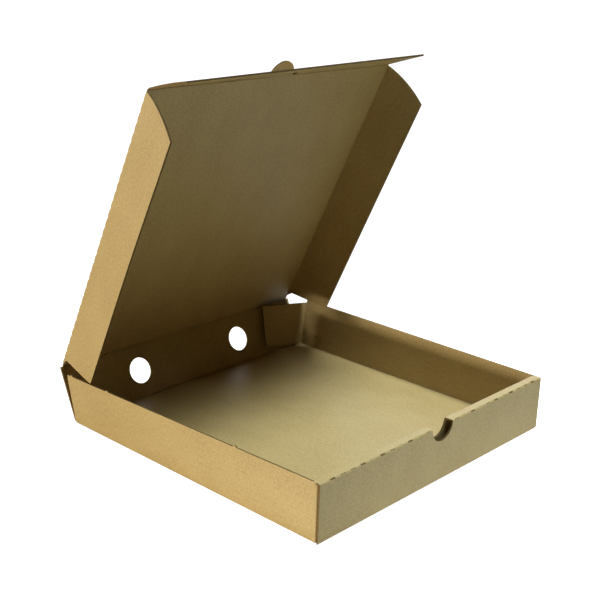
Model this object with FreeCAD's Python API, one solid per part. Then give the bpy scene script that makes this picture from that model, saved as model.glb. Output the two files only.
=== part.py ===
# Pizza box folded from one die-cut sheet of thin corrugated board, standing open.
# Millimetres and degrees. +X runs along the front wall, -Y is the front, +Z is up.
# The origin is the centre of the tray's underside.
#
# The floor, the front wall, the side walls and the trapped front corner flaps are one solid.
# The rear wall, the lid, its three flaps and the two rear corner flaps are solids of their
# own, because they turn about their creases.
# A crease's axis lies on the inner face of the board, where the scored line is.

import FreeCAD
import Part
import math
import os
from FreeCAD import Vector

# Board
board = 1.6                    # thickness of the corrugated board
ply_gap = 0.2                  # air between plies that lie against each other
crease_gap = 0.1               # bare end of a hinged panel, up to its crease axis
cut_gap = 0.4                  # width of a die cut between two neighbours

# Tray
tray_width = 300.0             # outside, left to right
tray_depth = 300.0             # outside, front to rear
tray_height = 50.0             # outside, side and front walls
side_flare = 9.5               # outward lean of the side walls at their rear ends
front_wall_thickness = 9.0     # rolled-over front wall, outside face to inside face
front_corner_flap = 45.0       # length of the flaps trapped in the front wall
floor_clearance = 0.4          # inner ply of the front wall above the floor
corner_flap_foot = 2.4         # lower edge of the front corner flaps above the floor

# Locking tabs of the inner ply and their slots in the floor
tab_width = 30.0
tab_spacing = 150.0
tab_recess = 0.3               # end of a tab above the underside of the floor
slot_clearance = 0.3

# Thumb notch and steam vents
notch_radius = 14.0
vent_radius = 12.5
vent_spacing = 130.0

# Rear wall
rear_wall_rise = 0.5           # floor crease to lid crease, beyond the height of the side walls
rear_wall_lean = 24.0          # backward lean, as it stands
rear_wall_inset = 1.0          # ends inside the tray's outside width

# Rear corner flaps, folded in from the side walls
corner_flap_length = 55.0      # crease to free edge
corner_flap_crease_low = 2.0   # height of the lower end of the crease
corner_flap_crease_drop = 3.6  # upper end of the crease below the tray's height
corner_flap_free_low = 11.3    # height of the lower corner of the free edge
corner_flap_free_rise = 1.1    # upper corner of the free edge above the tray's height
corner_flap_lean_low = 0.6     # rearward lean of the lower corner
corner_flap_lean_high = 13.8   # rearward lean of the upper corner

# Lid
lid_side_clearance = 4.0       # side creases of the lid inside the tray's outside width
lid_setback = 7.0              # rear crease to front crease, short of the tray's depth
lid_elevation = 64.5           # lid above the horizontal, as it stands
finger_tab_radius = 14.0

# Side flaps of the lid
side_flap_clearance = 2.8      # free edge short of the tray's height
side_flap_fold = 81.0          # from flat, as it stands
side_flap_rear_crease = 5.0    # start of the flap along its crease
side_flap_shoulder = 11.0      # set back here, to pass in front of the rear corner flap
side_flap_shoulder_depth = 4.0
side_flap_rear_free = 23.0     # start of the flap along its free edge
side_flap_tip_setback = 16.0   # end of the free edge, short of the front crease
side_flap_front_setback = 1.5  # end of the flap along its crease, short of the front crease
side_flap_bulge = 3.0          # bulge of the curved front end beyond its chord

# Front flap of the lid
front_flap_clearance = 6.5     # free edge short of the tray's height
front_flap_fold = 48.0         # from flat, as it stands
front_flap_inset = 1.0         # ends inside the lid's creases
front_flap_taper = 0.5         # further inset at the free edge

# Sizes that follow
inner_x = tray_width / 2 - board
inner_y = tray_depth / 2 - board
inner_wall_face = -tray_depth / 2 + front_wall_thickness
fold_end_y = -inner_y + ply_gap + board
corner_crease_y = inner_y - ply_gap - board
rear_wall_height = tray_height + rear_wall_rise
lid_x = tray_width / 2 - lid_side_clearance
lid_length = tray_depth - lid_setback
side_flap_depth = tray_height - side_flap_clearance
front_flap_depth = tray_height - front_flap_clearance


def vec(x, y, z):
    return Vector(x, y, z)


def outline(*runs):
    """Closed face from runs of points: two points are a line, three are an arc."""
    edges = []
    for run in runs:
        if len(run) == 3:
            edges.append(Part.Arc(*run).toShape())
        else:
            edges.append(Part.LineSegment(*run).toShape())
    return Part.Face(Part.Wire(edges))


def polygon(points):
    return Part.Face(Part.makePolygon(points + points[:1]))


def box(x0, x1, y0, y1, z0, z1):
    return Part.makeBox(x1 - x0, y1 - y0, z1 - z0, vec(x0, y0, z0))


def fold_arc(centre, start, end):
    """Quarter-round fold: start and end are unit vectors, the middle point lies between them."""
    middle = (start + end).normalize()
    return [centre + v * board for v in (start, middle, end)]


def mirrored(shape):
    return shape.mirror(vec(0, 0, 0), vec(1, 0, 0))


# Tray

def floor():
    plate = box(-inner_x, inner_x, -inner_y, inner_y - crease_gap, 0, board)
    slot_half = tab_width / 2 + slot_clearance
    for side in (-1, 1):
        x = side * tab_spacing / 2
        slot = box(
            x - slot_half,
            x + slot_half,
            inner_wall_face - board - slot_clearance,
            inner_wall_face + slot_clearance,
            -1,
            board + 1,
        )
        plate = plate.cut(slot)
    return plate


def side_wall_section(y, lean):
    """Section of the right side wall with its floor crease, leaning outward."""
    root = vec(inner_x, y, board)
    up = vec(math.sin(math.radians(lean)), 0, math.cos(math.radians(lean)))
    out = vec(up.z, 0, -up.x)
    rise = tray_height - board
    top = root + up * rise
    arc = fold_arc(root, out, vec(0, 0, -1))
    return Part.Wire(
        [
            Part.LineSegment(root, top).toShape(),
            Part.LineSegment(top, top + out * board).toShape(),
            Part.LineSegment(top + out * board, arc[0]).toShape(),
            Part.Arc(*arc).toShape(),
            Part.LineSegment(arc[2], root).toShape(),
        ]
    )


def right_side_wall():
    """Upright where the front wall holds it, leaning outward at its free rear end."""
    front = side_wall_section(fold_end_y, 0)
    rear = side_wall_section(corner_crease_y - crease_gap, side_flare)
    return Part.makeLoft([front, rear], True, True)


def right_front_corner_flap():
    """Vertical fold at the front end of the side wall and the flap behind the outer ply."""
    root = vec(inner_x, fold_end_y, board + corner_flap_foot)
    end = vec(inner_x - front_corner_flap, fold_end_y, root.z)
    arc = fold_arc(root, vec(1, 0, 0), vec(0, -1, 0))
    flap = outline(
        [root, arc[0]],
        arc,
        [arc[2], end - vec(0, board, 0)],
        [end - vec(0, board, 0), end],
        [end, root],
    )
    top = tray_height - board - ply_gap
    return flap.extrude(vec(0, 0, top - root.z))


def right_rear_corner_flap():
    """Flap folded in from the side wall's rear end, slightly twisted by its springy crease."""
    flare = math.tan(math.radians(side_flare))

    def corner(z, away, lean):
        x = inner_x + (z - board) * flare - away
        return vec(x, corner_crease_y + lean, z)

    low = corner(corner_flap_crease_low, crease_gap, 0)
    high = corner(tray_height - corner_flap_crease_drop, crease_gap, 0)
    free_low = corner(corner_flap_free_low, corner_flap_length, corner_flap_lean_low)
    z_high = tray_height + corner_flap_free_rise
    free_high = corner(z_high, corner_flap_length, corner_flap_lean_high)
    back = vec(0, board, 0)
    crease_section = Part.makePolygon([low, high, high + back, low + back, low])
    free_section = Part.makePolygon(
        [free_low, free_high, free_high + back, free_low + back, free_low]
    )
    return Part.makeLoft([crease_section, free_section], True, True)


def left_rear_corner_flap():
    return mirrored(right_rear_corner_flap())


def front_wall():
    """Outer ply, rolled-over top and inner ply, bent from one strip of the sheet."""
    y = -inner_y
    y_in = inner_wall_face - board
    z_top = tray_height - board
    z_low = board + floor_clearance
    foot = vec(0, y, board)
    bend = vec(0, y, z_top)
    bend_in = vec(0, y_in, z_top)
    ahead, behind = vec(0, -1, 0), vec(0, 1, 0)
    down, up = vec(0, 0, -1), vec(0, 0, 1)
    foot_arc = fold_arc(foot, down, ahead)
    top_arc = fold_arc(bend, ahead, up)
    inner_arc = fold_arc(bend_in, up, behind)
    inner_foot = vec(0, inner_wall_face, z_low)
    profile = outline(
        [foot, foot_arc[0]],
        foot_arc,
        [foot_arc[2], top_arc[0]],
        top_arc,
        [top_arc[2], inner_arc[0]],
        inner_arc,
        [inner_arc[2], inner_foot],
        [inner_foot, vec(0, y_in, z_low)],
        [vec(0, y_in, z_low), bend_in],
        [bend_in, bend],
        [bend, foot],
    )
    profile.translate(vec(-tray_width / 2, 0, 0))
    wall = profile.extrude(vec(tray_width, 0, 0))
    for side in (-1, 1):
        inside, beyond = sorted((side * (inner_x - ply_gap), side * (tray_width / 2 + 1)))
        wall = wall.cut(box(inside, beyond, fold_end_y - ply_gap, 0, 0, tray_height + 1))
        x = side * tab_spacing / 2
        tab = box(x - tab_width / 2, x + tab_width / 2, y_in, inner_wall_face, tab_recess, z_low)
        wall = wall.fuse(tab)
    notch = Part.makeCylinder(
        notch_radius, front_wall_thickness + 2, vec(0, -tray_depth / 2 - 1, tray_height), behind
    )
    return wall.cut(notch)


def tray():
    right = [right_side_wall(), right_front_corner_flap()]
    pieces = [front_wall()] + right + [mirrored(piece) for piece in right]
    return floor().fuse(pieces).removeSplitter()


# Panels behind the rear crease, drawn flat: x to the right, y along the panel, inner face at z = 0

def sheet(face):
    return face.extrude(vec(0, 0, -board))


def stood_up(shape, root, elevation):
    """Stand a flat panel on a crease: its y axis rises from +Y by the elevation."""
    shape = shape.copy()
    shape.rotate(vec(0, 0, 0), vec(1, 0, 0), elevation)
    shape.translate(root)
    return shape


rear_elevation = 90 - rear_wall_lean
rear_crease = vec(0, inner_y, board)
rear_up = vec(0, math.cos(math.radians(rear_elevation)), math.sin(math.radians(rear_elevation)))
lid_crease = rear_crease + rear_up * rear_wall_height


def rear_wall():
    half = tray_width / 2 - rear_wall_inset
    panel = sheet(
        polygon(
            [
                vec(-half, crease_gap, 0),
                vec(half, crease_gap, 0),
                vec(half, rear_wall_height - crease_gap, 0),
                vec(-half, rear_wall_height - crease_gap, 0),
            ]
        )
    )
    for side in (-1, 1):
        centre = vec(side * vent_spacing / 2, rear_wall_height / 2, -board - 1)
        panel = panel.cut(Part.makeCylinder(vent_radius, board + 2, centre))
    return stood_up(panel, rear_crease, rear_elevation)


def on_lid(shape):
    """The lid's y axis leans forward over the tray."""
    return stood_up(shape, lid_crease, 180 - lid_elevation)


def lid_panel():
    """Top panel with the finger tab that stays in its plane."""
    r = finger_tab_radius
    front = lid_length
    panel = outline(
        [vec(-lid_x, crease_gap, 0), vec(lid_x, crease_gap, 0)],
        [vec(lid_x, crease_gap, 0), vec(lid_x, front, 0)],
        [vec(lid_x, front, 0), vec(r, front, 0)],
        [vec(r, front, 0), vec(0, front + r, 0), vec(-r, front, 0)],
        [vec(-r, front, 0), vec(-lid_x, front, 0)],
        [vec(-lid_x, front, 0), vec(-lid_x, crease_gap, 0)],
    )
    return on_lid(sheet(panel))


def flat_side_flap():
    """Right flap of the lid, still flat: square-cut at the rear, curved at its front end."""
    near = lid_x + crease_gap
    far = lid_x + side_flap_depth
    shoulder = vec(lid_x + side_flap_shoulder_depth, side_flap_shoulder, 0)
    start = vec(near, lid_length - side_flap_front_setback, 0)
    end = vec(far, lid_length - side_flap_tip_setback, 0)
    chord = end - start
    outward = vec(-chord.y, chord.x, 0).normalize()
    middle = (start + end) * 0.5 + outward * side_flap_bulge
    return sheet(
        outline(
            [vec(near, side_flap_rear_crease, 0), shoulder],
            [shoulder, vec(far, side_flap_rear_free, 0)],
            [vec(far, side_flap_rear_free, 0), end],
            [end, middle, start],
            [start, vec(near, side_flap_rear_crease, 0)],
        )
    )


def lid_right_flap():
    flap = flat_side_flap()
    flap.rotate(vec(lid_x, 0, 0), vec(0, -1, 0), side_flap_fold)
    return on_lid(flap)


def lid_left_flap():
    return mirrored(lid_right_flap())


def lid_front_flap():
    """Tuck flap, cut out around the finger tab."""
    near = lid_length + crease_gap
    far = lid_length + front_flap_depth
    half = lid_x - front_flap_inset
    half_far = half - front_flap_taper
    r = finger_tab_radius + cut_gap
    flap = sheet(
        outline(
            [vec(-half, near, 0), vec(-r, near, 0)],
            [vec(-r, near, 0), vec(0, near + r, 0), vec(r, near, 0)],
            [vec(r, near, 0), vec(half, near, 0)],
            [vec(half, near, 0), vec(half_far, far, 0)],
            [vec(half_far, far, 0), vec(-half_far, far, 0)],
            [vec(-half_far, far, 0), vec(-half, near, 0)],
        )
    )
    flap.rotate(vec(0, lid_length, 0), vec(1, 0, 0), front_flap_fold)
    return on_lid(flap)


nodes = {
    "tray": tray,
    "left_rear_corner_flap": left_rear_corner_flap,
    "right_rear_corner_flap": right_rear_corner_flap,
    "rear_wall": rear_wall,
    "lid_panel": lid_panel,
    "lid_left_flap": lid_left_flap,
    "lid_right_flap": lid_right_flap,
    "lid_front_flap": lid_front_flap,
}

os.makedirs("parts", exist_ok=True)
for name, make in nodes.items():
    shape = make()
    solids = len(shape.Solids)
    print(name, "solids", solids, "valid", shape.isValid(), "volume", round(shape.Volume, 1))
    shape.exportStep("parts/" + name + ".step")
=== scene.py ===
# %% [markdown]
# # A pizza box of corrugated board
# The real box is one die-cut sheet of thin corrugated board, folded along scored creases. In this
# lesson each flat stretch of the sheet is made as true corrugated board, with its flutes open at
# every cut edge, and each crease is a strip of bent board between two flat stretches. The moving
# flaps ride on the bodies of the frame, while the strips at their creases stay fixed in place.

# %% Frame
import math

import bmesh
import bpy
from mathutils import Matrix, Vector


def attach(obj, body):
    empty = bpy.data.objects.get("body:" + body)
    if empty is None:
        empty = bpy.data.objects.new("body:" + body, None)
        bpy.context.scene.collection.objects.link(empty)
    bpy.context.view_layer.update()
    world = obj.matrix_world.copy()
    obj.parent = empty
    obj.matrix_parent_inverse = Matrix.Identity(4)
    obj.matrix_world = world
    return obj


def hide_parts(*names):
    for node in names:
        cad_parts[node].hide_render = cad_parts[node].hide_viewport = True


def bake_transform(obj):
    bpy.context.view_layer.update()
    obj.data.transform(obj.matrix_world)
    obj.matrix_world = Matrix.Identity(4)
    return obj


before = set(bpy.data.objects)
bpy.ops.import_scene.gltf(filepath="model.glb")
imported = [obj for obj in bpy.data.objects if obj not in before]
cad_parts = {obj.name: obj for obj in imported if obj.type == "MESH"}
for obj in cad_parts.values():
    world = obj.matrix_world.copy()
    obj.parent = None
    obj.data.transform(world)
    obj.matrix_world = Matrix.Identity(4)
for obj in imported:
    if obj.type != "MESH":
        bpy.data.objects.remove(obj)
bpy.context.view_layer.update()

# %% [markdown]
# The camera comes first. Its values were found by matching the tray's corners, the lid's corners
# and the two vents to their places in the picture: a direction seen from the box, a roll, a
# distance, a sideways offset and a focal length in pixels of a 600-pixel frame.

# %% Camera
MM = 0.001
FRAME_PIXELS = 600.0
SENSOR_MM = 36.0
CAMERA_AZIMUTH = math.radians(-47.406)
CAMERA_ELEVATION = math.radians(18.385)
CAMERA_ROLL = math.radians(1.734)
CAMERA_DISTANCE = 1037.78 * MM
CAMERA_RIGHT_OFFSET = 6.4 * MM
CAMERA_DOWN_OFFSET = 114.5 * MM
FOCAL_PIXELS = 1130.5


def make_camera():
    back = Vector((
        math.sin(CAMERA_AZIMUTH) * math.cos(CAMERA_ELEVATION),
        -math.cos(CAMERA_AZIMUTH) * math.cos(CAMERA_ELEVATION),
        math.sin(CAMERA_ELEVATION),
    ))
    right = Vector((0, 0, 1)).cross(back).normalized()
    up = back.cross(right)
    turn = Matrix.Rotation(CAMERA_ROLL, 3, back)
    right, up = turn @ right, turn @ up
    place = back * CAMERA_DISTANCE - right * CAMERA_RIGHT_OFFSET + up * CAMERA_DOWN_OFFSET
    data = bpy.data.cameras.new("camera")
    data.sensor_width = SENSOR_MM
    data.lens = FOCAL_PIXELS / FRAME_PIXELS * SENSOR_MM
    camera = bpy.data.objects.new("camera", data)
    axes = Matrix((right, up, back)).transposed()
    camera.matrix_world = Matrix.Translation(place) @ axes.to_4x4()
    bpy.context.scene.collection.objects.link(camera)
    bpy.context.scene.camera = camera
    print("camera at", [round(c, 4) for c in place], "lens", round(data.lens, 2))


make_camera()

# %% [markdown]
# All sizes are in millimetres, and a point becomes metres only when it is placed. The board is
# E-flute: two paper liners with a fine wave of paper between them, 1.6 mm thick in all. The
# blank's flutes run from the front of the box to the rear.

# %% Sizes of the board and the box
BOARD = 1.6
LINER = 0.24
FLUTE_PITCH = 3.3
INNER_X = 148.4
INNER_Y = 148.4
TRAY_HEIGHT = 50.0
FOLD_END_Y = 146.6
FRONT_END_Y = 145.6
SIDE_FLARE = math.radians(9.5)
PLY_FACE_Y = -141.0
PLY_GAP = 0.2
REAR_LEAN = math.radians(24.0)
REAR_HEIGHT = 50.5
REAR_HALF = 149.0
LID_LEAN = math.radians(64.5)
LID_X = 146.0
LID_LENGTH = 293.0
SIDE_FLAP_FOLD = math.radians(81.0)
SIDE_FLAP_DEPTH = 47.2
FRONT_FLAP_FOLD = math.radians(48.0)
FRONT_FLAP_DEPTH = 43.5
NOTCH_RADIUS = 14.0
VENT_RADIUS = 12.5
VENT_X = 65.0

X = Vector((1, 0, 0))
Y = Vector((0, 1, 0))
Z = Vector((0, 0, 1))
rear_root = Vector((0, INNER_Y, BOARD))
rear_up = Vector((0, math.sin(REAR_LEAN), math.cos(REAR_LEAN)))
rear_in = Vector((0, -math.cos(REAR_LEAN), math.sin(REAR_LEAN)))
lid_root = rear_root + rear_up * REAR_HEIGHT
lid_up = Vector((0, -math.cos(LID_LEAN), math.sin(LID_LEAN)))
lid_in = Vector((0, -math.sin(LID_LEAN), -math.cos(LID_LEAN)))
front_crease = lid_root + lid_up * LID_LENGTH
print("lid crease at", [round(c, 2) for c in lid_root])
print("front crease at", [round(c, 2) for c in front_crease])

# %% [markdown]
# A finish is a small network of shader nodes. One helper adds a node with its settings and its
# links, so that a network reads as a list. Colours are written as the sRGB hex values that a paint
# program shows, and turned to the linear values that the shader works in.

# %% Node helper and colours

def linear(code):
    """Linear colour from an sRGB hex value."""
    channels = [int(code[i:i + 2], 16) / 255 for i in (1, 3, 5)]
    return [c / 12.92 if c <= 0.04045 else ((c + 0.055) / 1.055) ** 2.4 for c in channels] + [1.0]


def add(tree, kind, settings=None, inputs=None):
    """Add a node. An input given as a socket is linked, any other value is set."""
    node = tree.nodes.new(kind)
    for key, value in (settings or {}).items():
        setattr(node, key, value)
    for key, value in (inputs or {}).items():
        if isinstance(value, bpy.types.NodeSocket):
            tree.links.new(value, node.inputs[key])
        else:
            node.inputs[key].default_value = value
    return node


def layered(tree, colour, tints):
    """A base colour with tints laid over it.

    Each tint is (pattern, its value where the tint starts, its value where the tint ends, the
    tint's share at the start, its share at the end, hex colour).
    """
    for pattern, low, high, at_low, at_high, tint in tints:
        share = add(tree, "ShaderNodeMapRange", {}, {
            "Value": pattern,
            "From Min": low,
            "From Max": high,
            "To Min": at_low,
            "To Max": at_high,
        }).outputs["Result"]
        inputs = {0: share, 6: colour, 7: linear(tint)}
        colour = add(tree, "ShaderNodeMix", {"data_type": "RGBA"}, inputs).outputs[2]
    return colour


# %% [markdown]
# Kraft liner is unbleached paper: warm brown, with paler and darker fibres that lie mostly across
# the flutes, cloudy patches, a few dark specks, and a dull shine where light grazes it. The flutes
# beneath it show as faint straight ribs, which printers call washboarding. A picture of paper could
# be wrapped round the box, but noise at the paper's own sizes needs no file and never repeats. All
# of it follows the sheet, so it reads a UV map that holds each point's place in the flat blank, in
# metres.

# %% Kraft liner
# name: (size across the flutes in mm, size along them in mm, detail, roughness)
PAPER_NOISE = {
    "cloud": (26.0, 41.6, 3.0, 0.5),
    "mottle": (3.2, 2.24, 3.0, 0.62),
    "fibre": (3.4, 0.6, 2.0, 0.6),
}
SPECK_MM = (5.0, 3.0)
RIB_DEPTH = 0.045
FIBRE_DEPTH = 0.05


def paper_patterns(tree):
    """The patterns of the paper, each on the flat blank at its own size."""
    blank = add(tree, "ShaderNodeUVMap", {"uv_map": "blank"}).outputs["UV"]

    def sized(across, along):
        inputs = {"Vector": blank, "Scale": (1 / (across * MM), 1 / (along * MM), 1.0)}
        return add(tree, "ShaderNodeMapping", {}, inputs).outputs["Vector"]

    patterns = {}
    for name, (across, along, detail, roughness) in PAPER_NOISE.items():
        patterns[name] = add(tree, "ShaderNodeTexNoise", {"noise_dimensions": "2D"}, {
            "Vector": sized(across, along),
            "Scale": 1.0,
            "Detail": detail,
            "Roughness": roughness,
        }).outputs["Fac"]
    patterns["ribs"] = add(tree, "ShaderNodeTexWave", {"bands_direction": "X"}, {
        "Vector": sized(FLUTE_PITCH, FLUTE_PITCH),
        "Scale": math.tau / 20,
        "Distortion": 0.35,
        "Detail": 1.0,
        "Detail Scale": 0.2,
    }).outputs["Fac"]
    patterns["specks"] = add(tree, "ShaderNodeTexVoronoi", {"voronoi_dimensions": "2D"}, {
        "Vector": sized(*SPECK_MM),
        "Scale": 1.0,
    }).outputs["Distance"]
    return patterns


def kraft_liner():
    """Unbleached kraft linerboard, calendered on the machine: a matt brown with a soft sheen."""
    material = bpy.data.materials.new("kraft_liner")
    material.use_nodes = True
    tree = material.node_tree
    shader = tree.nodes["Principled BSDF"]
    patterns = paper_patterns(tree)
    colour = layered(tree, linear("#B2955D"), [
        (patterns["cloud"], 0.3, 0.7, 0, 1, "#BB9F67"),
        (patterns["mottle"], 0.34, 0.68, 0, 0.6, "#C9AF79"),
        (patterns["fibre"], 0.35, 0.62, 0.24, 0, "#876E3D"),
        (patterns["ribs"], 0.0, 1.0, 0.10, 0, "#937848"),
        (patterns["specks"], 0.05, 0.11, 0.42, 0, "#5E4020"),
    ])
    tree.links.new(colour, shader.inputs["Base Color"])
    rough = add(tree, "ShaderNodeMapRange", {}, {
        "Value": patterns["mottle"],
        "From Min": 0.3,
        "From Max": 0.7,
        "To Min": 0.44,
        "To Max": 0.52,
    })
    tree.links.new(rough.outputs["Result"], shader.inputs["Roughness"])
    shader.inputs["IOR"].default_value = 1.52
    rib_bump = add(tree, "ShaderNodeBump", {}, {
        "Strength": 0.5,
        "Distance": RIB_DEPTH * MM,
        "Height": patterns["ribs"],
    })
    fibre_bump = add(tree, "ShaderNodeBump", {}, {
        "Strength": 0.4,
        "Distance": FIBRE_DEPTH * MM,
        "Height": patterns["fibre"],
        "Normal": rib_bump.outputs["Normal"],
    })
    tree.links.new(fibre_bump.outputs["Normal"], shader.inputs["Normal"])
    return material


# %% [markdown]
# A die cuts the board with a steel rule, so its edges are raw paper: duller than the liner, with
# loose fibres and no shine. Their dark brown is partly the raw paper's own colour and partly
# painted shade, for edges that lie in shadow, such as the line at the front corner. The same finish
# serves the fluting inside.

# %% Cut edge
EDGE_GRAIN_MM = 0.8
EDGE_FUZZ = 0.08


def cut_edge():
    """Raw die-cut edge and the semi-chemical fluting paper inside the board, darkened partly with
    painted shade.
    """
    material = bpy.data.materials.new("cut_board_edge")
    material.use_nodes = True
    tree = material.node_tree
    shader = tree.nodes["Principled BSDF"]
    place = add(tree, "ShaderNodeTexCoord").outputs["Object"]
    grain = add(tree, "ShaderNodeTexNoise", {}, {
        "Vector": place,
        "Scale": 1 / (EDGE_GRAIN_MM * MM),
        "Detail": 3.0,
    }).outputs["Fac"]
    # The dark base is partly the raw paper's colour and partly painted shade of edges in shadow.
    colour = layered(tree, linear("#54401F"), [(grain, 0.3, 0.7, 0, 1, "#826538")])
    tree.links.new(colour, shader.inputs["Base Color"])
    shader.inputs["Roughness"].default_value = 0.85
    shader.inputs["IOR"].default_value = 1.45
    bump = add(tree, "ShaderNodeBump", {}, {
        "Strength": 0.7,
        "Distance": EDGE_FUZZ * MM,
        "Height": grain,
    })
    tree.links.new(bump.outputs["Normal"], shader.inputs["Normal"])
    return material


LINER_SLOT, EDGE_SLOT = 0, 1
finishes = [kraft_liner(), cut_edge()]
print("finishes", [m.name for m in finishes])

# %% [markdown]
# A flat stretch of board starts as its outline, which is filled and extruded to the board's
# thickness. One flute's hollow is a short-sided prism, repeated side by side, turned over every
# second time, and subtracted. What stays between the hollows is the wave of paper. The wave could
# be painted on the edges of plain plates instead, but the open edges of this box are seen from
# many sides, so it is cut. Local axes: u across the flutes, v along them, and w through the board,
# from the inner face at 0 to the outer face at minus the thickness.

# %% Outlines

def arc(centre, radius, start, end, steps):
    """Points of an arc from start to end, in degrees."""
    turn = [math.radians(start + (end - start) * i / steps) for i in range(steps + 1)]
    return [(centre[0] + radius * math.cos(a), centre[1] + radius * math.sin(a)) for a in turn]


def rectangle(u0, u1, v0, v1):
    return [(u0, v0), (u1, v0), (u1, v1), (u0, v1)]


def bulged(start, end, bulge, steps):
    """Points of a shallow curve from start to end that stands out to the left of its chord."""
    a, b = Vector(start), Vector(end)
    side = Vector((-(b - a).y, (b - a).x)).normalized()
    points = []
    for i in range(steps + 1):
        t = i / steps
        points.append(tuple(a.lerp(b, t) + side * bulge * 4 * t * (1 - t)))
    return points


# %% Prisms and cutting

def prism(bm, outline, top, bottom):
    """Closed prism over an outline, between two heights."""
    verts = [bm.verts.new((u, v, top)) for u, v in outline]
    face = bm.faces.new(verts)
    face.normal_update()
    grown = bmesh.ops.extrude_face_region(bm, geom=[face])
    moved = [g for g in grown["geom"] if isinstance(g, bmesh.types.BMVert)]
    bmesh.ops.translate(bm, verts=moved, vec=(0, 0, bottom - top))


def as_object(bm, name):
    bmesh.ops.recalc_face_normals(bm, faces=bm.faces)
    mesh = bpy.data.meshes.new(name)
    bm.to_mesh(mesh)
    bm.free()
    thing = bpy.data.objects.new(name, mesh)
    bpy.context.scene.collection.objects.link(thing)
    return thing


def subtract(solid, cutter):
    """Cut one object out of another, and return the result as a bmesh."""
    modifier = solid.modifiers.new("cut", "BOOLEAN")
    modifier.operation = "DIFFERENCE"
    modifier.solver = "EXACT"
    modifier.object = cutter
    graph = bpy.context.evaluated_depsgraph_get()
    bm = bmesh.new()
    bm.from_mesh(solid.evaluated_get(graph).to_mesh())
    for thing in (solid, cutter):
        mesh = thing.data
        bpy.data.objects.remove(thing)
        bpy.data.meshes.remove(mesh)
    return bm


# %% Flutes
HOLLOW_WIDE = 0.62
HOLLOW_NARROW = 0.30
HOLLOW_SHOULDER = 0.38


def flute_hollows(u0, u1, v0, v1):
    """The air beside the wave: one prism for each half pitch, every second one turned over."""
    half = BOARD / 2 - LINER
    bm = bmesh.new()
    count = int((u1 - u0) / (FLUTE_PITCH / 2)) + 1
    first = math.ceil(u0 / (FLUTE_PITCH / 2))
    for i in range(first, first + count):
        u = i * FLUTE_PITCH / 2
        if u - HOLLOW_WIDE < u0 + LINER or u + HOLLOW_WIDE > u1 - LINER:
            continue
        side = 1 if i % 2 else -1
        section = [(-HOLLOW_WIDE, half), (HOLLOW_WIDE, half), (HOLLOW_NARROW, -HOLLOW_SHOULDER)]
        section += [(0, -half), (-HOLLOW_NARROW, -HOLLOW_SHOULDER)]
        verts = [bm.verts.new((u + a, v0, side * b - BOARD / 2)) for a, b in section]
        grown = bmesh.ops.extrude_face_region(bm, geom=[bm.faces.new(verts)])
        moved = [g for g in grown["geom"] if isinstance(g, bmesh.types.BMVert)]
        bmesh.ops.translate(bm, verts=moved, vec=(0, v1 - v0, 0))
    return bm


# %% Board
EDGE_FACE_LIMIT = 0.7
SKIN = 0.01
SHARP = math.radians(35)


def board(outline, place, origin=(0, 0), holes=(), step=0.0, across=0.0):
    """One flat stretch of corrugated board, cut to its outline and put in its place.

    place turns (u, v, w) into a point of the box. origin is the stretch's place in the blank.
    step cuts the stretch across its flutes and across along them, so that it can bend.
    """
    bm = bmesh.new()
    prism(bm, outline, 0, -BOARD)
    if holes:
        cutter = bmesh.new()
        for hole in holes:
            prism(cutter, hole, 1, -BOARD - 1)
        bm = subtract(as_object(bm, "sheet"), as_object(cutter, "holes"))
    us, vs = [p[0] for p in outline], [p[1] for p in outline]
    hollows = flute_hollows(min(us), max(us), min(vs) - 1, max(vs) + 1)
    bm = subtract(as_object(bm, "sheet"), as_object(hollows, "hollows"))
    slice_up(bm, min(vs), max(vs), step, Vector((0, 1, 0)))
    slice_up(bm, min(us), max(us), across, Vector((1, 0, 0)))
    finish_board(bm, origin)
    for vert in bm.verts:
        vert.co = place(*vert.co)
    return bm


def slice_up(bm, low, high, step, axis):
    if not step:
        return
    count = max(1, round((high - low) / step))
    for i in range(1, count):
        geom = bm.verts[:] + bm.edges[:] + bm.faces[:]
        point = axis * (low + (high - low) * i / count)
        bmesh.ops.bisect_plane(bm, geom=geom, plane_co=point, plane_no=axis, dist=1e-5)


def finish_board(bm, origin):
    """Give liner and edge faces their finish and every corner its place in the blank."""
    bm.normal_update()
    layer = bm.loops.layers.uv.new("blank")
    for face in bm.faces:
        depth = sum(v.co.z for v in face.verts) / len(face.verts)
        on_skin = depth > -SKIN or depth < SKIN - BOARD
        outside = on_skin and abs(face.normal.z) > EDGE_FACE_LIMIT
        face.material_index = LINER_SLOT if outside else EDGE_SLOT
        face.smooth = outside
        for loop in face.loops:
            u, v = loop.vert.co.x + origin[0], loop.vert.co.y + origin[1]
            loop[layer].uv = (u * MM, v * MM)
    for edge in bm.edges:
        if len(edge.link_faces) == 2 and edge.calc_face_angle(0) > SHARP:
            edge.smooth = False


# %% [markdown]
# A crease is where the board was crushed by a rounded steel rule, so that it folds along a line.
# Bent, its outer liner runs round in a small arc about that line. The strip is a grid bent round
# the crease's axis and given thickness inward. A bevel on one folded sheet would round the corner
# too; here the strip is a piece of its own. Where the die has cut the crease in dashes, to make it
# fold easily, the strip dips at each cut and stands proud between two cuts.

# %% Crease strip
FOLD_SEGMENTS = 6
CREASE_BEAD = 0.55
FOOT_BEAD = 0.95
LINER_STRETCH = 1.4
CUT_SHOWS = 0.6
CREASE_SWELL = 0.12
CUT_OPENS = 0.15
DASH_UNEVEN = 0.5


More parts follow.
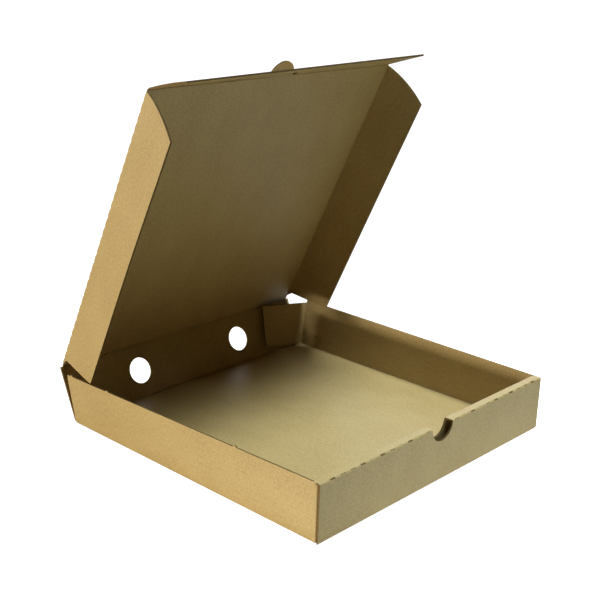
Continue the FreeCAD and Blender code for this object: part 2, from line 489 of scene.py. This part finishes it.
def crease(place, length, origin=(0, 0), step=6.0, dash=None, along_flutes=True,
           bead=CREASE_BEAD):
    """A strip of bent board. place turns (distance along, share of the bend, radius) into a point.

    dash is (pitch, cut length, depth of the dip): the dashes of a cut crease. bead is how far the
    crushed inner liner bulges into the corner.
    """
    count = max(1, round(length / step))
    stations = [length * i / count for i in range(count + 1)]
    if dash:
        stations = dash_stations(length, dash)
    bm = bmesh.new()
    bmesh.ops.create_grid(bm, x_segments=len(stations) - 1, y_segments=FOLD_SEGMENTS, size=0.5)
    layer = bm.loops.layers.uv.new("blank")
    last = len(stations) - 1
    outer = {}
    for vert in bm.verts:
        index = round((vert.co.x + 0.5) * last)
        share = vert.co.y + 0.5
        s = stations[index]
        swell = CREASE_SWELL * math.sin(math.pi * share)
        if dash:
            swell -= dash_dip(s, dash) * math.sin(math.pi * share) ** 2
        outer[vert] = (s, share, BOARD + swell)
    for face in bm.faces:
        # The deepest faces of a dash dip take the dark edge finish: the raw cut, with painted shade
        # in the slit.
        deepest = min(outer[v][2] for v in face.verts)
        face.material_index = EDGE_SLOT if deepest < BOARD - CUT_SHOWS else LINER_SLOT
        face.smooth = True
        for loop in face.loops:
            s, share, _ = outer[loop.vert]
            width = share * BOARD * LINER_STRETCH
            flat = (width, s) if along_flutes else (s, width)
            loop[layer].uv = ((flat[0] + origin[0]) * MM, (flat[1] + origin[1]) * MM)
    skin = list(bm.faces)
    rim = [edge for edge in bm.edges if edge.is_boundary]
    inner = {}
    for vert in list(outer):
        s, share, _ = outer[vert]
        cut_open = dash and dash_dip(s, dash) > 0
        inside = CUT_OPENS if cut_open else -bead * math.sin(math.pi * share)
        copy = bm.verts.new(place(s, share, inside))
        inner[vert] = copy
        vert.co = place(*outer[vert])
    for face in skin:
        back = bm.faces.new([inner[v] for v in reversed(face.verts)], face)
        back.material_index = LINER_SLOT
        for corner, twin in zip(back.loops, reversed(face.loops[:])):
            corner[layer].uv = twin[layer].uv
    for edge in rim:
        a, b = edge.verts
        side = bm.faces.new([a, b, inner[b], inner[a]])
        side.material_index = EDGE_SLOT
        side.smooth = False
        edge.smooth = False
    bmesh.ops.recalc_face_normals(bm, faces=bm.faces)
    return bm


def dash_stations(length, dash):
    pitch, cut, _ = dash
    stations = [0.0]
    start = (pitch - cut) / 2
    while start + cut < length:
        stations += [start, start + cut * 0.2, start + cut * 0.5, start + cut * 0.8, start + cut]
        start += pitch
    stations.append(length)
    return stations


def dash_dip(s, dash):
    pitch, cut, depth = dash
    index, offset = divmod(s - (pitch - cut) / 2, pitch)
    uneven = 1 - DASH_UNEVEN * (1 + math.sin(2.4 * index)) / 2
    return depth * uneven if 0.1 * cut < offset < 0.9 * cut else 0.0


def bend(root, start, end):
    """A place function for a straight crease: from one outward normal round to another."""
    axis = start.cross(end).normalized()
    total = start.angle(end)

    def place(s, share, radius, along):
        return root + along * s + Matrix.Rotation(total * share, 3, axis) @ start * radius

    return place


def straight_crease(root, along, start, end, length, **words):
    placed = bend(root, start, end)
    return crease(lambda s, share, radius: placed(s, share, radius, along), length, **words)


# %% [markdown]
# Stretches that move as one are joined into one piece of board, mirrored where left and right are
# alike, and scaled from millimetres to metres.

# %% Joining

def mirrored(bm):
    """A copy turned left for right, with its faces turned outward again."""
    copy = bm.copy()
    bmesh.ops.scale(copy, vec=(-1, 1, 1), verts=copy.verts)
    bmesh.ops.reverse_faces(copy, faces=copy.faces)
    return copy


def piece(name, parts):
    """One finished piece of board from several stretches and creases."""
    whole = bmesh.new()
    for part in parts:
        mesh = bpy.data.meshes.new("part")
        part.to_mesh(mesh)
        part.free()
        whole.from_mesh(mesh)
        bpy.data.meshes.remove(mesh)
    bmesh.ops.scale(whole, vec=(MM, MM, MM), verts=whole.verts)
    mesh = bpy.data.meshes.new(name)
    whole.to_mesh(mesh)
    whole.free()
    for finish in finishes:
        mesh.materials.append(finish)
    thing = bpy.data.objects.new(name, mesh)
    bpy.context.scene.collection.objects.link(thing)
    triangles = sum(len(p.vertices) - 2 for p in mesh.polygons)
    print(name, "triangles", triangles)
    return thing


# %% [markdown]
# The tray. Its floor is flat. The side walls stand upright where the rolled front wall holds them
# and lean outward at their free rear ends. Turning a flat plate would lift its front end out of
# the corner, so each wall is placed by blending an upright section into a leaning one. Small tags
# stand out on the left wall's top edge, where the die left the blank joined to its neighbour.

# %% Floor and side walls
TAB_HALF = 15.3
TAB_X = 75.0
SLOT_PLAY = 0.3
SLOT_FRONT = PLY_FACE_Y - BOARD - SLOT_PLAY
SLOT_REAR = PLY_FACE_Y + SLOT_PLAY
NICK = 2.0
LEFT_NICKS = (-62.0, 92.0, 141.0)


def floor_board():
    slots = [rectangle(x - TAB_HALF, x + TAB_HALF, SLOT_FRONT, SLOT_REAR) for x in (-TAB_X, TAB_X)]
    outline = rectangle(-INNER_X, INNER_X, -INNER_Y, INNER_Y)
    return board(outline, lambda u, v, w: Vector((u, v, BOARD + w)), holes=slots)


def wall_lean(y):
    """Share of the side wall's full lean at a place along it."""
    return (y + FOLD_END_Y) / (2 * FOLD_END_Y)


def side_wall_place(u, v, w):
    upright = Vector((INNER_X - w, v, BOARD + u))
    up = Vector((math.sin(SIDE_FLARE), 0, math.cos(SIDE_FLARE)))
    out = Vector((up.z, 0, -up.x))
    leaning = Vector((INNER_X, v, BOARD)) + up * u - out * w
    return upright.lerp(leaning, wall_lean(v))


def side_wall(nicks=()):
    """A side wall. nicks are the places of the small tags on its top edge."""
    top = TRAY_HEIGHT - BOARD
    outline = [(0, -FRONT_END_Y), (top, -FRONT_END_Y)]
    for y in nicks:
        outline += [(top, y - NICK), (top + NICK * 0.6, y - NICK * 0.7)]
        outline += [(top + NICK * 0.5, y + NICK * 0.6), (top, y + NICK)]
    outline += [(top, FOLD_END_Y), (0, FOLD_END_Y)]
    return board(outline, side_wall_place, origin=(INNER_X, 0), step=18.0, across=24.0)


def side_wall_foot():
    """The fold between the floor and a side wall, opening with the wall's lean."""

    def place(s, share, radius):
        y = -FRONT_END_Y + s
        turn = (math.pi / 2 - SIDE_FLARE * wall_lean(y)) * share
        return Vector((INNER_X, y, BOARD)) + Vector((math.sin(turn), 0, -math.cos(turn))) * radius

    return crease(place, FRONT_END_Y + FOLD_END_Y, origin=(INNER_X, -FRONT_END_Y), step=12.0,
                  bead=FOOT_BEAD)


# %% [markdown]
# The front wall is one strip rolled over: up, across the top and down again inside, where two
# small tongues lock into slots of the floor. The side walls' front flaps are trapped in it. Their
# folds stop a little behind the outer ply, which leaves the dark slot seen at the front corner. The
# front wall's upper outside crease is cut in dashes, and a half-round thumb notch goes through both
# plies. The roll could be one swept profile, but then its flutes would run the wrong way, so each
# ply and the strip on top is a stretch of board.

# %% Front wall
TRAY_HALF = 150.0
ROLL_Z = TRAY_HEIGHT - BOARD
PLY_HALF = 148.2
PLY_FOOT = 0.4
TONGUE_PLAY = 0.3
TONGUE_END = 0.3
ROLL_DASH = (11.6, 5.4, 1.1)
CORNER_FLAP_FOOT = 4.0
CORNER_FOLD_FOOT = 0.6
CORNER_FLAP_LENGTH = 45.0


def notch_points():
    """The half-round notch at the roll's top edge, from its right end to its left end."""
    reach = math.degrees(math.acos((TRAY_HEIGHT - ROLL_Z) / NOTCH_RADIUS))
    return arc((0, TRAY_HEIGHT), NOTCH_RADIUS, -90 + reach, -90 - reach, 28)


def front_outer_ply():
    outline = [(-TRAY_HALF, BOARD), (TRAY_HALF, BOARD), (TRAY_HALF, ROLL_Z)]
    outline += notch_points() + [(-TRAY_HALF, ROLL_Z)]
    return board(outline, lambda u, v, w: Vector((u, w - INNER_Y, v)), origin=(0, -INNER_Y))


def front_inner_ply():
    foot = BOARD + PLY_FOOT
    tongue = TAB_HALF - TONGUE_PLAY
    outline = [(-PLY_HALF, foot)]
    for x in (-TAB_X, TAB_X):
        outline += [(x - tongue, foot), (x - tongue, TONGUE_END)]
        outline += [(x + tongue, TONGUE_END), (x + tongue, foot)]
    outline += [(PLY_HALF, foot), (PLY_HALF, ROLL_Z)] + notch_points() + [(-PLY_HALF, ROLL_Z)]
    back = PLY_FACE_Y - BOARD
    return board(outline, lambda u, v, w: Vector((u, back - w, v)), origin=(0, -250))


def roll_halves():
    """The strip across the top and its two bends, on the right of the notch."""
    start = math.sqrt(NOTCH_RADIUS ** 2 - (BOARD / 2) ** 2)
    front, back = -INNER_Y, PLY_FACE_Y - BOARD
    top = board(rectangle(start, TRAY_HALF - PLY_GAP, front, back),
                lambda u, v, w: Vector((u, v, ROLL_Z - w)), origin=(0, -60))
    outer = straight_crease(Vector((start, front, ROLL_Z)), X, -Y, Z, TRAY_HALF - start,
                            origin=(start, -200), dash=ROLL_DASH, along_flutes=False)
    inner = straight_crease(Vector((start, back, ROLL_Z)), X, Z, Y, PLY_HALF - start,
                            origin=(start, -210), along_flutes=False)
    return [top, outer, inner]


def front_foot():
    root = Vector((-TRAY_HALF, -INNER_Y, BOARD))
    return straight_crease(root, X, -Z, -Y, 2 * TRAY_HALF, origin=(-150, -149),
                           along_flutes=False)


def front_corner():
    """The upright fold at a side wall's front end, and the flap trapped behind the outer ply."""
    top = ROLL_Z - PLY_GAP
    fold = straight_crease(Vector((INNER_X, -FRONT_END_Y, CORNER_FOLD_FOOT)), Z, -Y, X,
                           top - CORNER_FOLD_FOOT, origin=(INNER_X, -150), along_flutes=False)
    outline = rectangle(CORNER_FLAP_FOOT, top, 0, CORNER_FLAP_LENGTH)
    flap = board(outline, lambda u, v, w: Vector((INNER_X - v, w - FRONT_END_Y, u)),
                 origin=(150, -200))
    return [fold, flap]


tray_parts = [floor_board(), front_outer_ply(), front_inner_ply(), front_foot()]
tray_parts += [side_wall(), mirrored(side_wall(LEFT_NICKS))]
for part in [side_wall_foot()] + roll_halves() + front_corner():
    tray_parts += [mirrored(part), part]
tray = piece("tray_board", tray_parts)
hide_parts("tray")
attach(tray, "tray")

# %% [markdown]
# The rear wall leans back from the floor and carries two round steam vents. Its foot is a crease
# strip, bent round from the tray's floor to the wall and fixed in place.


def blended(thing):
    """Bake a crease strip's placement into its mesh; the strip follows no body."""
    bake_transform(thing)


def rear_place(u, v, w):
    return rear_root + X * u + rear_up * v + rear_in * w


def rear_board():
    outline = rectangle(-REAR_HALF, REAR_HALF, 0, REAR_HEIGHT)
    vents = [arc((x, REAR_HEIGHT / 2), VENT_RADIUS, 0, 354, 59) for x in (-VENT_X, VENT_X)]
    return board(outline, rear_place, origin=(0, INNER_Y), holes=vents)


rear_wall = piece("rear_wall_board", [rear_board()])
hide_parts("rear_wall")
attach(rear_wall, "rear_wall")

foot_root = rear_root - X * INNER_X
rear_foot = piece("rear_wall_crease", [
    straight_crease(foot_root, X, -Z, -rear_in, 2 * INNER_X, origin=(-INNER_X, INNER_Y),
                    step=12.0, along_flutes=False, bead=FOOT_BEAD)])
blended(rear_foot)

# %% [markdown]
# A rear corner flap folds in from each side wall's rear end. The springy crease twists it, which a
# plain turn about its crease can't show, so it is placed from its four corners.

# %% Rear corner flaps
CORNER_LOW = 2.0
CORNER_HIGH = 46.4
CORNER_REACH = 55.0
FREE_LOW = Vector((0, 0.6, 11.3))
FREE_HIGH = Vector((0, 13.8, 51.1))


def crease_point(z):
    return Vector((INNER_X + (z - BOARD) * math.tan(SIDE_FLARE), FOLD_END_Y, z))


def corner_flap_corner(z, lean):
    point = crease_point(z)
    return Vector((point.x - CORNER_REACH, point.y + lean, z))


def corner_place(u, v, w):
    """u and v are shares of the flap's height and length, in percent."""
    low = crease_point(CORNER_LOW).lerp(corner_flap_corner(FREE_LOW.z, FREE_LOW.y), v / 100)
    high = crease_point(CORNER_HIGH).lerp(corner_flap_corner(FREE_HIGH.z, FREE_HIGH.y), v / 100)
    return low.lerp(high, u / 100) - Y * w


def corner_flap():
    high = CORNER_HIGH - CORNER_LOW
    scale_u, scale_v = 100 / high, 100 / CORNER_REACH
    outline = rectangle(0, high, 0, CORNER_REACH)
    return board(outline, lambda u, v, w: corner_place(u * scale_u, v * scale_v, w),
                 origin=(150, 150), step=8.0, across=11.0)


corner_out = Vector((math.cos(SIDE_FLARE), 0, -math.sin(SIDE_FLARE)))
corner_along = Vector((math.sin(SIDE_FLARE), 0, math.cos(SIDE_FLARE)))


def corner_crease():
    root = crease_point(CORNER_LOW)
    length = (CORNER_HIGH - CORNER_LOW) / math.cos(SIDE_FLARE)
    return straight_crease(root, corner_along, corner_out, Y, length, origin=(150, 148),
                           along_flutes=False)


right_flap = corner_flap()
right_crease = corner_crease()
corner_flaps = (
    ("left", mirrored(right_flap), mirrored(right_crease), -1),
    ("right", right_flap, right_crease, 1),
)
for side, flap_part, crease_part, sign in corner_flaps:
    body = side + "_rear_corner_flap"
    flap = piece(body + "_board", [flap_part])
    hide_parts(body)
    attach(flap, body)
    fold = piece(body + "_crease", [crease_part])
    middle = crease_point((CORNER_LOW + CORNER_HIGH) / 2)
    middle.x *= sign
    blended(fold)

# %% [markdown]
# The lid is a square panel with a half-round finger tab at its front. The tab is cut out of the
# tuck flap and stays in the lid's plane, so it belongs to the panel's outline.

# %% Lid panel
TAB_RADIUS = 14.0
TAB_GAP = 0.4


def lid_place(u, v, w):
    return lid_root + X * u + lid_up * v + lid_in * w


def lid_board():
    tab = arc((0, LID_LENGTH), TAB_RADIUS, 0, 180, 28)
    outline = [(-LID_X, 0), (LID_X, 0), (LID_X, LID_LENGTH)]
    outline += tab + [(-LID_X, LID_LENGTH)]
    return board(outline, lid_place, origin=(0, 200))


lid = piece("lid_board", [lid_board()])
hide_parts("lid_panel")
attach(lid, "lid_panel")

lid_crease = piece("lid_hinge_crease", [
    straight_crease(lid_root - X * LID_X, X, -rear_in, -lid_in, 2 * LID_X, origin=(-LID_X, 200),
                    step=12.0, along_flutes=False)])
blended(lid_crease)

# %% [markdown]
# The lid's side flaps have curved front ends, and a set-back shoulder at the rear that clears the
# rear corner flaps. They could be flat plates like the lid, but thin board never stays flat at a
# free edge, so each is bowed a little. Their creases are cut in dashes, which shows as a row of
# little teeth along the fold.

# %% Side flaps of the lid
FLAP_REAR = 5.0
SHOULDER = (4.0, 11.0)
FLAP_REAR_FREE = 23.0
FLAP_TIP = LID_LENGTH - 16.0
FLAP_FRONT = LID_LENGTH - 1.5
FLAP_BULGE = 3.0
FLAP_BOW = {"left": math.radians(-1.2), "right": math.radians(0.6)}
SIDE_DASH = (9.4, 4.0, 0.8)


def side_flap_place(u, v, w, bow):
    """The right flap, bowed a little between its two ends."""
    fold = SIDE_FLAP_FOLD + bow * math.sin(math.pi * v / LID_LENGTH) ** 2 * u / SIDE_FLAP_DEPTH
    reach = X * math.cos(fold) + lid_in * math.sin(fold)
    face = lid_in * math.cos(fold) - X * math.sin(fold)
    return lid_root + X * LID_X + lid_up * v + reach * u + face * w


def side_flap(bow):
    front = bulged((SIDE_FLAP_DEPTH, FLAP_TIP), (0, FLAP_FRONT), -FLAP_BULGE, 12)
    outline = [(0, FLAP_REAR), SHOULDER, (SIDE_FLAP_DEPTH, FLAP_REAR_FREE)] + front
    return board(outline, lambda u, v, w: side_flap_place(u, v, w, bow), origin=(LID_X, 200),
                 step=18.0, across=12.0)


flap_face = lid_in * math.cos(SIDE_FLAP_FOLD) - X * math.sin(SIDE_FLAP_FOLD)


def side_flap_crease():
    root = lid_root + X * LID_X + lid_up * FLAP_REAR
    return straight_crease(root, lid_up, -lid_in, -flap_face, FLAP_FRONT - FLAP_REAR,
                           origin=(LID_X, 205), dash=SIDE_DASH)


right_flap = side_flap(FLAP_BOW["right"])
right_crease = side_flap_crease()
side_flaps = (
    ("left", mirrored(side_flap(FLAP_BOW["left"])), mirrored(right_crease), -1),
    ("right", right_flap, right_crease, 1),
)
for side, flap_part, crease_part, sign in side_flaps:
    body = "lid_" + side + "_flap"
    flap = piece(body + "_board", [flap_part])
    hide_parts(body)
    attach(flap, body)
    fold = piece(body + "_crease", [crease_part])
    middle = lid_root + X * LID_X * sign + lid_up * LID_LENGTH / 2
    blended(fold)

# %% [markdown]
# The tuck flap goes inside the front wall when the lid is closed. It hangs by a crease in two
# lengths, on either side of the finger tab, and sags and twists a little by its own weight, so its
# fold angle grows toward its free edge.

# %% Front flap of the lid
FRONT_SAG = math.radians(2.0)
FRONT_TWIST = math.radians(1.8)
FRONT_HALF = 145.0
FRONT_HALF_FREE = 144.5
front_face = lid_in * math.cos(FRONT_FLAP_FOLD) - lid_up * math.sin(FRONT_FLAP_FOLD)


def front_flap_place(u, v, w):
    """The tuck flap sags and is twisted: its left end is folded further than its right end."""
    fold = FRONT_FLAP_FOLD + (FRONT_SAG - FRONT_TWIST * u / FRONT_HALF) * v / FRONT_FLAP_DEPTH
    reach = lid_up * math.cos(fold) + lid_in * math.sin(fold)
    face = lid_in * math.cos(fold) - lid_up * math.sin(fold)
    return front_crease + X * u + reach * v + face * w


def front_flap():
    gap = TAB_RADIUS + TAB_GAP
    bite = arc((0, 0), gap, 180, 0, 28)
    outline = [(-FRONT_HALF, 0)] + bite + [(FRONT_HALF, 0)]
    outline += [(FRONT_HALF_FREE, FRONT_FLAP_DEPTH), (-FRONT_HALF_FREE, FRONT_FLAP_DEPTH)]
    return board(outline, front_flap_place, origin=(0, 500), step=14.5, across=29.0)


front_flap_board = piece("lid_front_flap_board", [front_flap()])
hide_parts("lid_front_flap")
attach(front_flap_board, "lid_front_flap")


def front_flap_crease():
    gap = TAB_RADIUS + TAB_GAP
    return straight_crease(front_crease + X * gap, X, -lid_in, -front_face, FRONT_HALF - gap,
                           origin=(gap, 498), along_flutes=False)


right_half = front_flap_crease()
front_fold = piece("lid_front_flap_crease", [mirrored(right_half), right_half])
blended(front_fold)

# %% [markdown]
# The picture has a plain white ground, so the floor and the world are white to the camera. In it
# the box's left side is golden, its front greyer and the hollow under the lid dark. So a small warm
# lamp stands low on the left, and a larger, cooler one hangs in front and above. To the light, the
# floor is white only in a pool before the box, which throws soft light on the front wall and the
# lid's inside, and grey elsewhere. The world is dark but for a backdrop behind the box, which gives
# the board its dull shine where the light grazes it.

# %% Stage and light
FLOOR_SIZE = 6.0
WARM = {"place": (-2.1, 0.35, 0.04), "size": 0.18, "power": 55.0, "colour": "#FFF8E6"}
TOP = {"place": (0.3, -0.32, 2.3), "size": 0.8, "power": 77.0, "colour": "#E3F5FF"}
AIM = Vector((0, 0, 0.1))
WHITE = 1.1
BACKDROP = 0.04
BACKDROP_SHINE = 1.7
FLOOR_SHINE = 0.1
POOL_CENTRE = (0.09, -0.44, 0)
POOL_SCALE = (2, 1, 1)
POOL_NEAR, POOL_FAR = 0.38, 0.8
POOL_TINT = "#FFF8E6"
FAR_TONE = "#484848"
FLOOR_DROP = 0.0005
BACKDROP_EDGES = (0.1, -0.3)


def lamp(name, place, size, power, colour):
    data = bpy.data.lights.new(name, "AREA")
    data.energy = power
    data.size = size
    data.color = linear(colour)[:3]
    light = bpy.data.objects.new(name, data)
    light.location = place
    light.rotation_euler = (AIM - Vector(place)).to_track_quat("-Z", "Y").to_euler()
    bpy.context.scene.collection.objects.link(light)
    print(name, "at", place, "power", power)


def by_ray(tree, strength, glossy):
    """A strength with its own value in reflections, and white to the camera and to clear things."""
    rays = add(tree, "ShaderNodeLightPath").outputs
    own = {"Is Glossy Ray": glossy, "Is Transmission Ray": 1, "Is Camera Ray": WHITE}
    for ray, value in own.items():
        inputs = {0: rays[ray], 2: strength, 3: value}
        strength = add(tree, "ShaderNodeMix", {"data_type": "FLOAT"}, inputs).outputs[0]
    return strength


def make_floor():
    bm = bmesh.new()
    bmesh.ops.create_grid(bm, x_segments=1, y_segments=1, size=FLOOR_SIZE / 2)
    floor = as_object(bm, "studio_floor")
    floor.location = (0, 0, -FLOOR_DROP)
    material = bpy.data.materials.new("white_floor")
    material.use_nodes = True
    tree = material.node_tree
    shader = tree.nodes["Principled BSDF"]
    place = add(tree, "ShaderNodeTexCoord").outputs["Object"]
    place = add(tree, "ShaderNodeMapping", {}, {"Vector": place, "Scale": POOL_SCALE}).outputs[0]
    reach = add(tree, "ShaderNodeVectorMath", {"operation": "DISTANCE"}, {0: place, 1: POOL_CENTRE})
    pool = (reach.outputs["Value"], POOL_NEAR, POOL_FAR, 1, 0, POOL_TINT)
    tree.links.new(layered(tree, linear(FAR_TONE), [pool]), shader.inputs["Base Color"])
    shader.inputs["Roughness"].default_value = 0.9
    glow = add(tree, "ShaderNodeEmission", {}, {"Strength": by_ray(tree, 0, FLOOR_SHINE)})
    total = add(tree, "ShaderNodeAddShader", {}, {0: shader.outputs[0], 1: glow.outputs[0]})
    output = tree.nodes["Material Output"]
    tree.links.new(total.outputs[0], output.inputs["Surface"])
    floor.data.materials.append(material)


def make_world():
    world = bpy.data.worlds.new("studio")
    bpy.context.scene.world = world
    world.use_nodes = True
    tree = world.node_tree
    background = tree.nodes["Background"]
    toward = add(tree, "ShaderNodeNewGeometry").outputs["Incoming"]
    depth = add(tree, "ShaderNodeSeparateXYZ", {}, {0: toward}).outputs["Y"]
    strengths = []
    for behind in (BACKDROP, BACKDROP_SHINE):
        strengths.append(add(tree, "ShaderNodeMapRange", {}, {
            "Value": depth,
            "From Min": BACKDROP_EDGES[0],
            "From Max": BACKDROP_EDGES[1],
            "To Min": 0,
            "To Max": behind,
        }).outputs["Result"])
    tree.links.new(by_ray(tree, *strengths), background.inputs["Strength"])
    background.inputs["Color"].default_value = (1, 1, 1, 1)


lamp("warm_lamp", **WARM)
lamp("top_lamp", **TOP)
make_floor()
make_world()
bpy.context.scene.view_settings.view_transform = "Standard"
